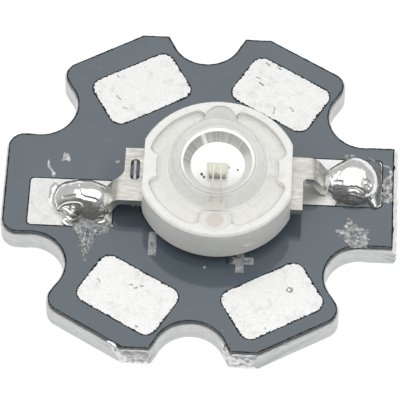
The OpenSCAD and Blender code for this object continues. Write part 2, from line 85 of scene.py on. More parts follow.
# Levels and the emitter's axis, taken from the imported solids, in millimetres
slug_low, slug_high = box_mm("heat_slug")
lens_low, lens_high = box_mm("lens")
AXIS = Vector(((slug_low.x + slug_high.x) / 2, (slug_low.y + slug_high.y) / 2, 0))
BOARD_Z = box_mm("solder_mask")[1].z
PAD_Z = box_mm("pad_front_left")[1].z
BODY_TOP = lens_low.z + FLANGE_T + FLANGE_DROP
DOME_R = lens_high.z - BODY_TOP
CORE_T = box_mm("base_plate")[1].z

# Broken edges of the board: where a break begins, how far its torn web reaches, how wide the right one is,
# the heights of the web between the two grooves, and the height of a torn ridge
BREAK_Y = 9.54
BREAK_X = 10.0
BREAK_REACH = 0.25
RIGHT_BREAK_HALF = 4
WEB_LOW = 0.4
WEB_HIGH = 0.8
TEAR_STEP = 0.27

WIRE_PADS = ("pad_back_left", "pad_back_right", "pad_front_left", "pad_front_right")

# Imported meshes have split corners: those closer than this are joined, and faces flatter than this are merged
WELD = 1e-4 * MM
FLAT_ANGLE = radians(0.5)

# View of the photograph
CAMERA_TARGET = Vector((0.0908, -0.6415, BOARD_Z))
CAMERA_DISTANCE = 164.17
CAMERA_YAW = 0.0406
CAMERA_PITCH = 1.0016
CAMERA_ROLL = -0.0091
CAMERA_LENS = 288.3

# Studio: radiance of the softbox overhead and of the room behind and in front of the part
BOX_LEVEL = 1.97
BOX_MIDDLE = -0.07
BOX_HALF_DEPTH = 0.84
BOX_HALF_WIDTH = 1.05
BOX_BLUR = 0.05
ROOM_BACK = 0.74
ROOM_FRONT = 0.24


# Shaders
class Finish:
    """Node tree of a new material or world, with short calls for its nodes. Sizes are in millimetres."""

    def __init__(self, name, kind="Material"):
        self.kind = kind
        owners = {"Material": bpy.data.materials, "World": bpy.data.worlds}
        self.owner = owners[kind].new(name)
        self.owner.use_nodes = True
        self.tree = self.owner.node_tree
        self.tree.nodes.clear()

    def feed(self, slot, value):
        """Links an input to a socket, or sets it to a value."""
        if isinstance(value, bpy.types.NodeSocket):
            self.tree.links.new(value, slot)
        else:
            slot.default_value = (*value, 1) if slot.type == "RGBA" else value

    def add(self, kind, **values):
        """Adds a node, and feeds its inputs or sets its options by name."""
        node = self.tree.nodes.new("ShaderNode" + kind)
        for key, value in values.items():
            name = key.replace("_", " ")
            if name in node.inputs:
                self.feed(node.inputs[name], value)
            else:
                setattr(node, key, value)
        return node

    def run(self, kind, operation, values):
        """Adds a math node and feeds its inputs in order."""
        node = self.add(kind, operation=operation)
        for slot, value in zip(node.inputs, values):
            self.feed(slot, value)
        return node.outputs

    def calc(self, operation, *values):
        """Number from numbers."""
        return self.run("Math", operation, values)[0]

    def vector(self, operation, *values):
        """Vector from vectors."""
        return self.run("VectorMath", operation, values)["Vector"]

    def measure(self, operation, *values):
        """Number from vectors."""
        return self.run("VectorMath", operation, values)["Value"]

    def spread(self, value, low, high, start=0.0, end=1.0, shape="LINEAR"):
        """Goes from start to end while a value goes from low to high, and stays there beyond."""
        return self.add("MapRange", Value=value, From_Min=low, From_Max=high, To_Min=start, To_Max=end,
                        interpolation_type=shape).outputs["Result"]

    def place(self):
        """Object coordinates, in metres."""
        return self.add("TexCoord").outputs["Object"]

    def along(self, axis):
        """One of the object coordinates, in metres."""
        return self.add("SeparateXYZ", Vector=self.place()).outputs[axis]

    def grain(self, size, detail=3.0, roughness=0.5, stretch=(1, 1, 1)):
        """Noise with features of about a size, from 0 to 1."""
        mapping = self.add("Mapping", Scale=stretch, Vector=self.place())
        return self.add("TexNoise", Scale=1 / (size * MM), Detail=detail, Roughness=roughness,
                        Vector=mapping.outputs["Vector"]).outputs["Fac"]

    def ramp(self, fac, *stops):
        """Colour ramp from (position, colour or grey) pairs."""
        node = self.add("ValToRGB", Fac=fac)
        for element, (position, colour) in zip(node.color_ramp.elements, stops, strict=True):
            element.position = position
            element.color = (*colour, 1) if isinstance(colour, tuple) else (colour, colour, colour, 1)
        return node.outputs["Color"]

    def blend(self, fac, first, second):
        """Mix of two colours."""
        return self.add("Mix", data_type="RGBA", Factor=fac, A=first, B=second).outputs["Result"]

    def coat(self, tone, rough, height, depth, **options):
        """Shader with a colour, a roughness and a bump of a given depth."""
        bump = self.add("Bump", Distance=depth * MM, Strength=1.0, Height=height)
        return self.add("BsdfPrincipled", Base_Color=tone, Roughness=rough, Normal=bump.outputs["Normal"],
                        **options)

    def mixed(self, fac, first, second):
        """Mix of two shaders."""
        node = self.add("MixShader", Fac=fac)
        for slot, shader in zip(node.inputs[1:], (first, second)):
            self.feed(slot, shader.outputs[0])
        return node

    def towards(self, direction, angle, low, high):
        """From 0 to 1 as the dot product of a direction with a compass angle goes from low to high."""
        return self.spread(self.measure("DOT_PRODUCT", direction, polar(1, angle, 0)), low, high)

    def near_spots(self, spots, size, ragged):
        """1 near any of some spots, each a place and a radius, and 0 away from them, with a ragged border."""
        border = 0.1
        uneven = self.calc("MULTIPLY", self.calc("SUBTRACT", self.grain(size, 4, 0.6), 0.5), ragged * MM)
        cover = 0.0
        for spot, radius in spots:
            away = self.calc("ADD", self.measure("DISTANCE", self.place(), Vector(spot) * MM), uneven)
            near = self.spread(away, (radius - border) * MM, (radius + border) * MM, 1.0, 0.0)
            cover = self.calc("MAXIMUM", cover, near)
        return cover

    def close(self, shader):
        """Connects a shader to the output, and gives the finished material or world."""
        self.add("Output" + self.kind, Surface=shader.outputs[0])
        return self.owner


def paint(mat, *names):
    """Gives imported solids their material."""
    for name in names:
        slots = nodes[name].material_slots
        if slots:
            for slot in slots:
                slot.material = mat
        else:
            nodes[name].data.materials.append(mat)


def mask_material():
    """Glossy dark slate solder mask with a faint mottling, a fine ripple and a few pale specks."""
    m = Finish("slate_mask")
    tone = m.ramp(m.grain(3.0, 4), (0.3, (0.071, 0.095, 0.114)), (0.7, (0.085, 0.110, 0.129)))
    dust = m.ramp(m.grain(0.12, 1), (0.79, 0.0), (0.83, 1.0))
    rough = m.ramp(m.grain(1.2, 3), (0.3, 0.05), (0.75, 0.13))
    return m.close(m.coat(m.blend(dust, tone, (0.3, 0.31, 0.31)), rough, m.grain(0.5, 2), 0.003, IOR=1.6))


def metal_material(name, dark, light, size, rough, depth, stretch=(1, 1, 1)):
    """Metal with a grain that varies its tone, its gloss and its surface."""
    m = Finish(name)
    fac = m.grain(size, 4, 0.6, stretch)
    tone = m.ramp(fac, (0.3, dark), (0.7, light))
    gloss = m.ramp(fac, (0.25, rough[1]), (0.75, rough[0]))
    return m.close(m.coat(tone, gloss, fac, depth, Metallic=1.0))


def tin_material(name, shade):
    """Hot-levelled tin: almost white, with a fine grain, faint blotches and scratches and a few dark pits."""
    m = Finish(name)

    def shaded(*colour):
        return tuple(part * shade for part in colour)

    fine = m.grain(0.09, 3, 0.6)
    tone = m.ramp(fine, (0.3, shaded(0.74, 0.74, 0.735)), (0.62, shaded(0.84, 0.84, 0.835)))
    blotches = m.ramp(m.grain(0.55, 5, 0.7), (0.52, 0.0), (0.68, 0.5))
    tone = m.blend(blotches, tone, shaded(0.57, 0.565, 0.55))
    scratch = m.ramp(m.grain(0.25, 2, 0.5, (1, 0.12, 1)), (0.72, 0.0), (0.76, 0.55))
    tone = m.blend(scratch, tone, (0.55, 0.55, 0.54))
    pits = m.ramp(m.grain(0.3, 3, 0.7), (0.74, 0.0), (0.78, 0.8))
    tone = m.blend(pits, tone, (0.40, 0.39, 0.37))
    return m.close(m.coat(tone, m.ramp(fine, (0.3, 0.5), (0.7, 0.38)), fine, 0.008, Metallic=0.8))


def aluminium_material():
    """Routed aluminium: lines along the cutter's path, the lower pass darker than the upper one."""
    m = Finish("routed_aluminium")
    lines = m.grain(0.5, 4, 0.65, (1, 1, 9))
    upper_tone = m.ramp(lines, (0.3, (0.55, 0.56, 0.56)), (0.7, (0.73, 0.74, 0.74)))
    lower_tone = m.blend(lines, (0.53, 0.54, 0.54), (0.67, 0.68, 0.68))
    lower = m.spread(m.along("Z"), 0.50 * MM, 0.56 * MM, 1.0, 0.0)
    gloss = m.ramp(m.grain(0.3, 3), (0.3, 0.55), (0.7, 0.38))
    return m.close(m.coat(m.blend(lower, upper_tone, lower_tone), gloss, lines, 0.01, Metallic=1.0))


def slug_material():
    """Silver-plated slug: bright, with painted shade on the streaked wall at the back of the cup, standing for
    the dark that wall reflects, and a thin painted highlight line on that wall.
    """
    margin = 0.005
    m = Finish("silver_plating")
    fac = m.grain(0.3, 4, 0.6)
    bright = m.ramp(fac, (0.3, (0.84, 0.84, 0.82)), (0.7, (0.93, 0.93, 0.91)))
    flat = m.vector("MULTIPLY", m.vector("SUBTRACT", m.place(), AXIS * MM), (1, 1, 0))
    radius = m.measure("LENGTH", flat)
    around = m.vector("NORMALIZE", flat)
    off_floor = m.calc("GREATER_THAN", radius, (CUP_FLOOR_R + margin) * MM)
    wall = m.calc("MULTIPLY", off_floor, m.calc("LESS_THAN", radius, (CUP_MOUTH_R - margin) * MM))
    # Painted shade darkens the back of the cup's wall, and a thin painted highlight line lies on it
    painted_wall_shade = m.calc("MULTIPLY", wall, m.towards(around, SHADED_WALL_ANGLE, -0.1, 0.5))
    painted_gleam = m.towards(around, PAINTED_GLEAM_ANGLE, 0.9980, 0.9992)
    streaks = m.add("TexNoise", Scale=9.0, Detail=3.0, Vector=around).outputs["Fac"]
    painted_wall_shade_tone = m.ramp(streaks, (0.35, (0.40, 0.40, 0.39)), (0.65, (0.63, 0.63, 0.615)))
    painted_wall_shade_tone = m.blend(painted_gleam, painted_wall_shade_tone, (0.95, 0.95, 0.93))
    gloss = m.ramp(fac, (0.25, 0.5), (0.75, 0.35))
    mirror = m.calc("SUBTRACT", 1.0, m.calc("MULTIPLY", wall, 0.65))
    return m.close(m.coat(m.blend(painted_wall_shade, bright, painted_wall_shade_tone), gloss, fac, 0.004, Metallic=mirror))


def ink_material(worn_spots):
    """Thin printed ink, patchy all over and worn away at some spots."""
    m = Finish("printed_ink")
    tone = m.ramp(m.grain(0.22, 4, 0.65), (0.35, (0.20, 0.215, 0.22)), (0.65, (0.50, 0.51, 0.51)))
    ink = m.coat(tone, 0.45, m.grain(0.08, 3), 0.006)
    patchy = m.ramp(m.grain(0.3, 4, 0.7), (0.60, 0.0), (0.68, 0.9))
    worn = m.calc("MAXIMUM", patchy, m.near_spots(worn_spots, 0.2, 0.35))
    return m.close(m.mixed(worn, ink, m.add("BsdfTransparent")))


def solder_material(burnt_and_shaded_spots):
    """Bright solder with a dark crust around some spots on the joints' fronts, each a place and a radius:
    partly burnt flux baked on, partly painted shade of those front sides.
    """
    m = Finish("solder")
    fac = m.grain(0.5, 4, 0.6)
    tone = m.ramp(fac, (0.3, (0.76, 0.76, 0.75)), (0.7, (0.88, 0.88, 0.87)))
    metal = m.coat(tone, m.ramp(fac, (0.25, 0.15), (0.75, 0.07)), fac, 0.012, Metallic=1.0)
    # Dark crust: burnt flux, and painted shade on the joints' front sides
    crust = m.grain(0.13, 4, 0.65)
    tone = m.ramp(crust, (0.3, (0.10, 0.097, 0.092)), (0.7, (0.28, 0.275, 0.265)))
    crust_and_shade = m.coat(tone, 0.3, crust, 0.02, IOR=1.55)
    return m.close(m.mixed(m.near_spots(burnt_and_shaded_spots, 0.35, 0.9), metal, crust_and_shade))


def plain_material(name, dark, light, size, rough, depth, ior=1.5):
    """Moulded, printed or cured stuff: a mottled colour with a fine surface."""
    m = Finish(name)
    tone = m.ramp(m.grain(size, 4, 0.6), (0.3, dark), (0.7, light))
    return m.close(m.coat(tone, rough, m.grain(size / 4, 3), depth, IOR=ior))


def phosphor_material():
    """Pale green phosphor on the die, mottled, with a grey band along its front edge."""
    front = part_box("led_die")[0].y
    m = Finish("phosphor")
    mottle = m.grain(0.1, 4, 0.6)
    tone = m.ramp(mottle, (0.3, (0.74, 0.755, 0.59)), (0.7, (0.88, 0.89, 0.77)))
    uneven = m.calc("MULTIPLY", m.calc("SUBTRACT", mottle, 0.5), 0.3 * MM)
    depth = m.calc("ADD", m.calc("SUBTRACT", m.along("Y"), front), uneven)
    band = m.spread(depth, 0.06 * MM, 0.16 * MM, 0.8, 0.0)
    return m.close(m.coat(m.blend(band, tone, (0.30, 0.31, 0.27)), 0.6, mottle, 0.004))


def moulding_material():
    """Off-white moulding, slightly translucent, with faint lines and scuffs."""
    m = Finish("white_moulding")
    tone = m.ramp(m.grain(1.5, 5, 0.6), (0.3, (0.83, 0.83, 0.80)), (0.7, (0.88, 0.88, 0.855)))
    lines = m.ramp(m.grain(0.9, 3, 0.6, (1, 1, 8)), (0.60, 0.0), (0.70, 0.5))
    tone = m.blend(lines, tone, (0.66, 0.66, 0.63))
    scuffs = m.grain(0.22, 5, 0.7)
    tone = m.blend(m.ramp(scuffs, (0.5, 0.0), (0.7, 0.55)), tone, (0.68, 0.68, 0.65))
    return m.close(m.coat(tone, 0.42, scuffs, 0.012, Subsurface_Weight=0.3, Subsurface_Scale=0.3 * MM,
                          Subsurface_Radius=(1.0, 0.9, 0.75)))


def clear_material():
    """Clear polished lens and the gel under it; light goes straight through it to what lies inside."""
    m = Finish("clear_lens")
    rough = m.ramp(m.grain(0.8, 3), (0.4, 0.0), (0.8, 0.03))
    glass = m.add("BsdfPrincipled", Base_Color=(0.98, 0.98, 0.97), Transmission_Weight=1.0, IOR=1.5,
                  Roughness=rough)
    through = m.add("BsdfTransparent", Color=(0.89, 0.89, 0.875))
    path = m.add("LightPath").outputs
    return m.close(m.mixed(m.calc("MAXIMUM", path["Is Shadow Ray"], path["Is Diffuse Ray"]), glass, through))


def residue_material(name, dark, light, cover):
    """Dried flux: a glossy, patchy crust that lets what lies under it show."""
    m = Finish(name)
    tone = m.ramp(m.grain(0.16, 4, 0.65), (0.35, dark), (0.65, light))
    crust = m.coat(tone, 0.28, m.grain(0.08, 3), 0.012, IOR=1.55)
    through = m.add("BsdfTransparent", Color=(0.95, 0.94, 0.92))
    opaque = m.ramp(m.grain(0.22, 3, 0.6), (0.35, cover[0]), (0.65, cover[1]))
    return m.close(m.mixed(opaque, through, crust))


def port_material(name, side, inner, outer):
    """Cured gel in a port: one tone in the middle, another around it, both mottled."""
    off_centre = 0.08
    m = Finish(name)
    middle = AXIS + Vector((0, side * (PORT_REACH + off_centre), BODY_TOP - GEL_DROP))
    mottle = m.calc("MULTIPLY", m.grain(0.2, 4, 0.6), 0.25 * MM)
    away = m.calc("ADD", m.measure("DISTANCE", m.place(), middle * MM), mottle)
    ring = m.spread(away, 0.48 * MM, 0.62 * MM)
    return m.close(m.coat(m.blend(ring, inner, outer), 0.3, m.grain(0.15, 3), 0.012))


# Mesh helpers
def mesh_piece(name, parts, mat, smooth_angle=80):
    """New piece from closed shapes, each a list of points in millimetres and a list of faces."""
    verts = []
    faces = []
    for points, rings in parts:
        start = len(verts)
        verts.extend(Vector(p) * MM for p in points)
        faces.extend(tuple(start + i for i in face) for face in rings)
    mesh = bpy.data.meshes.new(name)
    mesh.from_pydata(verts, [], faces)
    bm = bmesh.new()
    bm.from_mesh(mesh)
    bmesh.ops.recalc_face_normals(bm, faces=bm.faces)
    bm.to_mesh(mesh)
    bm.free()
    return ride_piece(name, mesh, mat, smooth_angle)


def ride_piece(name, mesh, mat, smooth_angle):
    """Object for a finished mesh that rides on the part. Its edges look smooth up to an angle in degrees."""
    mesh.polygons.foreach_set("use_smooth", [True] * len(mesh.polygons))
    mesh.set_sharp_from_angle(angle=radians(smooth_angle))
    mesh.materials.append(mat)
    piece = bpy.data.objects.new(name, mesh)
    bpy.context.scene.collection.objects.link(piece)
    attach(piece, "root")
    return piece


def closed_rings(rings, top, bottom):
    """Closed shape from rings of points, with a point above the first ring and one below the last."""
    count = len(rings[0])
    points = [p for ring in rings for p in ring] + [top, bottom]
    faces = []
    for i in range(len(rings) - 1):
        for j in range(count):
            k = (j + 1) % count
            faces.append((i * count + j, i * count + k, (i + 1) * count + k, (i + 1) * count + j))
    last = (len(rings) - 1) * count
    for j in range(count):
        k = (j + 1) % count
        faces.append((len(points) - 2, k, j))
        faces.append((len(points) - 1, last + j, last + k))
    return points, faces


def turns(count):
    """Even angles around a circle."""
    return [2 * pi * j / count for j in range(count)]


def polar(r, angle, z):
    """Point at a radius, an angle and a height."""
    return Vector((r * cos(angle), r * sin(angle), z))


def middle_of(points):
    """Mean of some points."""
    return sum(points, Vector()) / len(points)


def above(level, path):
    """Path with its heights counted from a level; a point without a height lies on the level."""
    return [(*p[:2], level + sum(p[2:])) for p in path]


def spline(table, place_in, closed):
    """Smooth curve through a list of numbers or vectors, at a place counted in list steps."""
    count = len(table)
    i = int(place_in)
    t = place_in - i
    picks = []
    for k in (i - 1, i, i + 1, i + 2):
        picks.append(table[k % count] if closed else table[min(max(k, 0), count - 1)])
    a, b, c, d = picks
    return (b + (c - a) * (t / 2) + (a * 2 - b * 5 + c * 4 - d) * (t * t / 2)
            + (b * 3 - a - c * 3 + d) * (t ** 3 / 2))


def lumps(point, size, seed):
    """Noise between about -1 and 1 with lumps of a given size."""
    return noise.noise(point / size + Vector((seed * 7.3, seed * 3.1, seed * 5.7)))


def strand(path, radii, flat, rough, seed, count=12, steps=6):
    """Closed lumpy thread along points, flattened towards the board and thinner at its ends."""
    lump_size = 0.15
    path = [Vector(p) for p in path]
    total = (len(path) - 1) * steps
    middles = [spline(path, i / steps, False) for i in range(total + 1)]
    rings = []
    for i, middle in enumerate(middles):
        along = middles[min(i + 1, total)] - middles[max(i - 1, 0)]
        side = along.cross(Vector((0, 0, 1))).normalized()
        up = side.cross(along).normalized()
        r = spline(radii, i / steps, False) * (1 + rough * lumps(middle, lump_size, seed))
        if i in (0, total):
            r *= 0.5
        rings.append([middle + side * (r * cos(angle)) + up * (r * flat * sin(angle))
                      for angle in turns(count)])
    ends = [middles[0] * 2 - middles[1], middles[-1] * 2 - middles[-2]]
    return closed_rings(rings, (middles[0] + ends[0]) / 2, (middles[-1] + ends[1]) / 2)


def board_strand(path, radii, flat, rough, seed):
    """Strand with its heights counted from the top of the mask."""
    return strand(above(BOARD_Z, path), radii, flat, rough, seed)


def nearest(point, path):
    """Distance in the board's plane from a point to a bent line."""
    best = 1e9
    for (ax, ay), (bx, by) in zip(path, path[1:]):
        dx, dy = bx - ax, by - ay
        length = dx * dx + dy * dy
        t = 0 if length == 0 else min(1, max(0, ((point.x - ax) * dx + (point.y - ay) * dy) / length))
        best = min(best, hypot(point.x - ax - t * dx, point.y - ay - t * dy))
    return best


def heap(centre, radii, height, seed):
    """Small rounded heap, with its radii at even angles."""
    count = 24
    ring_count = 6
    lump_size = 0.3
    lump_height = 0.01
    centre = Vector(centre)
    rings = []
    for i in range(1, ring_count + 1):
        tilt = pi / 2 * i / ring_count
        ring = []
        for angle in turns(count):
            r = spline(radii, angle / (2 * pi) * len(radii), True) * sin(tilt)
            p = centre + polar(r, angle, height * cos(tilt))
            ring.append(p + Vector((0, 0, lump_height * lumps(p, lump_size, seed))))
        rings.append(ring)
    return closed_rings(rings, centre + Vector((0, 0, height)), centre)


def loaf(stations, foot_z, creases, rough, seed):
    """Long heap of solder along X through stations of x, y, half width and height, with lumps, and with
    creases along lines in plan, each with a width and a depth."""
    count = 160
    steps = 14
    sunk = 0.01
    calm_below = 0.4
    stations = [Vector(station) for station in stations]
    rings = []
    for i in range((len(stations) - 1) * steps + 1):
        x, y, half, height = spline(stations, i / steps, False)
        ring = []
        for angle in turns(count):
            p = Vector((x, y + half * cos(angle), foot_z + height * sin(angle)))
            normal = Vector((0, cos(angle) / half, sin(angle) / height)).normalized()
            push = rough * (lumps(p, 0.7, seed) + 0.35 * lumps(p, 0.22, seed + 1))
            for path, width, depth in creases:
                push -= depth * exp(-(nearest(p, path) / width) ** 2)
            p += normal * push * min(1, half / calm_below)
            p.z = max(p.z, foot_z - sunk)
            ring.append(p)
        rings.append(ring)
    return closed_rings(rings, middle_of(rings[0]), middle_of(rings[-1]))


def film(outline, base_z, thickness, rough, size, seed, swelling=None):
    """Closed crust inside an outline: lumpy, thinning out to its border, with holes where the lumps dip.
    A swelling has a place in plan, a reach and a rise."""
    step = 0.035
    rim = 0.15
    thinnest = 0.002
    sunk = 0.004
    xs, ys = zip(*outline)
    left, front = min(xs), min(ys)
    columns = int((max(xs) - left) / step) + 3
    rows = int((max(ys) - front) / step) + 3
    border = list(outline) + [outline[0]]

    def grid_point(i, j):
        return Vector((left + (i - 1) * step, front + (j - 1) * step, 0))

    def inside(x, y):
        odd = False
        for (ax, ay), (bx, by) in zip(border, border[1:]):
            if (ay > y) != (by > y) and x < (bx - ax) * (y - ay) / (by - ay) + ax:
                odd = not odd
        return odd

    heights = {}
    for i in range(columns):
        for j in range(rows):
            p = grid_point(i, j)
            if not inside(p.x, p.y):
                continue
            edge = min(1, nearest(p, border) / rim)
            level = thickness
            if swelling:
                (x, y), reach, rise = swelling
                level += rise * exp(-((p.x - x) ** 2 / (4 * reach ** 2) + (p.y - y) ** 2 / reach ** 2))
            lump = 0.5 + 0.6 * lumps(p, size, seed) + 0.4 * lumps(p, size / 2.5, seed + 1)
            height = level * (edge * (1 - rough) + rough * (lump + edge - 1))
            if height > thinnest:
                heights[(i, j)] = height
    points = []
    index = {}
    faces = []

    def corner(i, j, upper):
        key = (i, j, upper and (i, j) in heights)
        if key not in index:
            p = grid_point(i, j)
            p.z = base_z + heights[(i, j)] if key[2] else base_z - sunk
            index[key] = len(points)
            points.append(p)
        return index[key]

    for i in range(columns):
        for j in range(rows):
            square = ((i, j), (i + 1, j), (i + 1, j + 1), (i, j + 1))
            if any(c in heights for c in square):
                faces.append(tuple(corner(a, b, True) for a, b in square))
                faces.append(tuple(corner(a, b, False) for a, b in reversed(square)))
    return points, faces


# Lens and gel
def fold_angle(angle):
    """Angle folded into the first quarter, since the lens is alike in all four."""
    return atan2(abs(sin(angle)), abs(cos(angle)))


def flange_radius(angle):
    """Outer radius of the lens at an angle: flange, ears, and the cut-outs at the two ports."""
    fold = fold_angle(angle)
    off_port = pi / 2 - fold
    ear_mid = EAR_R - EAR_HALF_W
    reach = EAR_R if EAR_START <= fold <= EAR_END else WELL_R
    for end in (EAR_START, EAR_END):
        off = fold - end
        room = EAR_HALF_W ** 2 - (ear_mid * sin(off)) ** 2
        if room > 0:
            reach = max(reach, ear_mid * cos(off) + sqrt(room))
    room = PORT_R ** 2 - (PORT_REACH * sin(off_port)) ** 2
    if room > 0:
        reach = max(DOME_R, PORT_REACH * cos(off_port) - sqrt(room))
    return reach


def ear_dip(angle, r):
    """How far the top of the lens is sunk at a place: an ear lies a little lower than the flange."""
    depth = 0.05
    blend_w = 0.07
    fold = fold_angle(angle)
    middle = min(max(fold, EAR_START), EAR_END)
    ear_mid = EAR_R - EAR_HALF_W
    off = sqrt(r ** 2 + ear_mid ** 2 - 2 * r * ear_mid * cos(fold - middle))
    share = min(1, max(0, (EAR_HALF_W - off) / blend_w))
    return depth * share * share * (3 - 2 * share)


def bead(r):
    """Height of the two faint moulded beads around the foot of the dome."""
    beads = ((2.7, 0.04, 0.035), (2.92, 0.035, 0.025))
    return sum(height * exp(-((r - radius) / width) ** 2) for radius, width, height in beads)


def make_lens(mat):
    """Clear lens and gel as one body: dome, flange with ears, and the filled well below."""
    dome_rings = 48
    flange_rings = 44
    sink = 0.05
    angles = turns(360)
    flange_top = BODY_TOP - FLANGE_DROP
    seat = flange_top - FLANGE_T - 0.02
    floor = BODY_TOP - WINDOW_DEPTH - sink
    profiles = []
    for i in range(1, dome_rings + 1):
        tilt = pi / 2 * i / dome_rings
        profiles.append([(DOME_R * sin(tilt), BODY_TOP + DOME_R * cos(tilt))] * len(angles))
    profiles.append([(DOME_R, flange_top)] * len(angles))
    for i in range(1, flange_rings + 1):
        ring = []
        for a in angles:
            r = DOME_R + (flange_radius(a) + sink - DOME_R) * i / flange_rings
            ring.append((r, flange_top - ear_dip(a, r) + bead(r)))
        profiles.append(ring)
    profiles.append([(flange_radius(a) + sink, seat) for a in angles])
    profiles.append([(WINDOW_R, seat)] * len(angles))
    profiles.append([(WINDOW_R, floor)] * len(angles))
    rings = [[AXIS + polar(r, a, z) for a, (r, z) in zip(angles, profile)] for profile in profiles]
    shape = closed_rings(rings, AXIS + Vector((0, 0, BODY_TOP + DOME_R)), AXIS + Vector((0, 0, floor)))
    lens = mesh_piece("lens_and_gel", [shape], mat, smooth_angle=30)
    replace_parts(lens, "lens", "encapsulant_gel")


def make_window_gel(mat):
    """Clouded gel that fills the bonding window up to the slope of the collar."""
    sink = 0.02
    steps = 8
    floor = BODY_TOP - WINDOW_DEPTH
    foot = BODY_TOP - FLANGE_DROP - FLANGE_T
    slope = (BODY_TOP + COLLAR_RISE - foot) / (COLLAR_FOOT_R - COLLAR_TOP_R)
    half = WINDOW_HALF_W + sink
    rings = []
    for i in range(steps + 1):
        reach = WINDOW_NEAR - sink + (WINDOW_FAR - WINDOW_NEAR + 2 * sink) * i / steps
        top = foot + slope * max(0, COLLAR_FOOT_R - reach) - sink
        corners = ((-half, floor), (half, floor), (half, top), (-half, top))
        rings.append([AXIS + Vector((x, -reach, z)) for x, z in corners])
    shape = closed_rings(rings, middle_of(rings[0]), middle_of(rings[-1]))
    mesh_piece("window_gel", [shape], mat, smooth_angle=40)


def make_specks(mat):
    """Bits of dust that the gel holds on the floor of the cup."""
    floor = BODY_TOP - 0.005
    height = 0.04
    specks = [(-0.55, -0.3, 0.05), (-0.47, -0.42, 0.045), (0.38, 0.02, 0.03), (0.69, -0.06, 0.03)]
    parts = []
    for k, (x, y, r) in enumerate(specks):
        parts.append(heap(AXIS + Vector((x, y, floor)), [r, 1.3 * r, r, 1.5 * r], height, k))
    mesh_piece("cup_specks", parts, mat)


def make_port_gel(name, side, inner, outer):
    """Gel that stands in a port, dished at the port's wall, and in the channel under the flange."""
    count = 72
    ring_count = 8
    rise = 0.06
    sink = 0.01
    centre = AXIS + Vector((0, side * PORT_REACH, 0))
    top = BODY_TOP - GEL_DROP
    seat = BODY_TOP - FLANGE_DROP - FLANGE_T - sink
    floor = BODY_TOP - PORT_DEPTH
    shares = [i / ring_count for i in range(1, ring_count + 1)]
    levels = [(share, True, top + rise * share ** 6) for share in shares]
    levels += [(1.0, True, seat), (1.0, False, seat), (1.0, False, floor)]
    rings = []
    for share, beside_dome, z in levels:
        ring = []
        for angle in turns(count):
            step = Vector((cos(angle), sin(angle), 0))
            reach = PORT_R + sink
            inward = -side * step.y * PORT_REACH
            room = inward ** 2 - PORT_REACH ** 2 + (DOME_R + sink) ** 2
            if beside_dome and room > 0 and inward > 0:
                reach = min(reach, inward - sqrt(room))
            ring.append(centre + step * reach * share + Vector((0, 0, z)))
        rings.append(ring)
    plug = closed_rings(rings, centre + Vector((0, 0, top)), centre + Vector((0, 0, floor)))
    slab = []
    for z in (seat, floor):
        for x, y in ((-1, CHANNEL_REACH), (1, CHANNEL_REACH), (1, PORT_REACH), (-1, PORT_REACH)):
            slab.append(AXIS + Vector((x * CHANNEL_HALF_W, side * y, z)))
    slab_faces = [(0, 1, 2, 3), (7, 6, 5, 4), (0, 4, 5, 1), (1, 5, 6, 2), (2, 6, 7, 3), (3, 7, 4, 0)]
    mat = port_material(name, side, inner, outer)
    mesh_piece(name, [plug, (slab, slab_faces)], mat, smooth_angle=40)


# Solder and flux
def make_left_joint(mat):
    """Left joint: a long heap that wicks up the lead, with creases, a thin skirt and drips."""
    stations = [
        (-7.49, -1.1, 0.14, 0.2), (-7.44, -1.1, 0.38, 0.42), (-7.3, -1.1, 0.68, 0.66),
        (-7.05, -1.1, 0.92, 0.88), (-6.65, -1.13, 1.08, 1.12), (-6.1, -1.15, 1.12, 1.38),
        (-5.6, -1.15, 1.09, 1.39), (-5.15, -1.15, 1.02, 1.29), (-4.8, -1.15, 0.9, 1.13),
        (-4.6, -1.15, 0.78, 0.98), (-4.52, -1.15, 0.7, 0.88),
    ]
    creases = [
        ([(-6.06, -0.95), (-6.04, -1.15), (-5.95, -1.48), (-5.72, -1.6), (-5.15, -1.64), (-4.79, -1.82)],
         0.05, 0.05),
        ([(-6.85, -1.44), (-6.5, -1.5), (-5.95, -1.5)], 0.05, 0.035),
        ([(-6.75, -2.1), (-6.4, -2.15), (-6.1, -2.2)], 0.3, 0.32),
        ([(-5.3, -1.85), (-4.95, -1.78), (-4.7, -1.85)], 0.05, 0.06),
    ]
    skirt = [(-7.45, 0.1), (-7.67, -0.29), (-7.68, -0.97), (-7.5, -1.43), (-7.11, -1.74), (-6.8, -1.95),
             (-6.7, -1.6), (-7.0, -0.3), (-7.25, 0.0)]
    drips = [
        ([(-6.95, -1.72, 0.4), (-6.66, -1.86, 0.42), (-6.36, -2.06, 0.3), (-6.14, -2.06, 0.34)],
         [0.09, 0.13, 0.13, 0.06], 0.25, 1),
        ([(-6.72, -2.02, 0.2), (-6.4, -2.26, 0.16), (-6.02, -2.2, 0.2)], [0.08, 0.13, 0.08], 0.3, 3),
        ([(-6.3, -2.36, 0.05), (-6.66, -2.24, 0.1), (-6.8, -2.36, 0.07), (-6.5, -2.56, 0.03)],
         [0.07, 0.13, 0.13, 0.07], 0.3, 2),
        ([(-5.22, -2.0, 0.46), (-5.0, -1.98, 0.46), (-4.78, -1.88, 0.4)], [0.06, 0.11, 0.06], 0.3, 4),
        ([(-5.1, -2.34, 0.08), (-4.84, -2.3, 0.1), (-4.6, -2.12, 0.1)], [0.05, 0.1, 0.06], 0.3, 5),
    ]
    parts = [
        loaf(stations, PAD_Z, creases, rough=0.03, seed=3),
        film(skirt, PAD_Z, 0.07, rough=0.15, size=0.3, seed=1),
    ]
    for path, radii, rough, seed in drips:
        parts.append(strand(above(PAD_Z, path), radii, 0.8, rough, seed))
    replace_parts(mesh_piece("solder_joint_left", parts, mat, smooth_angle=60), "solder_left")


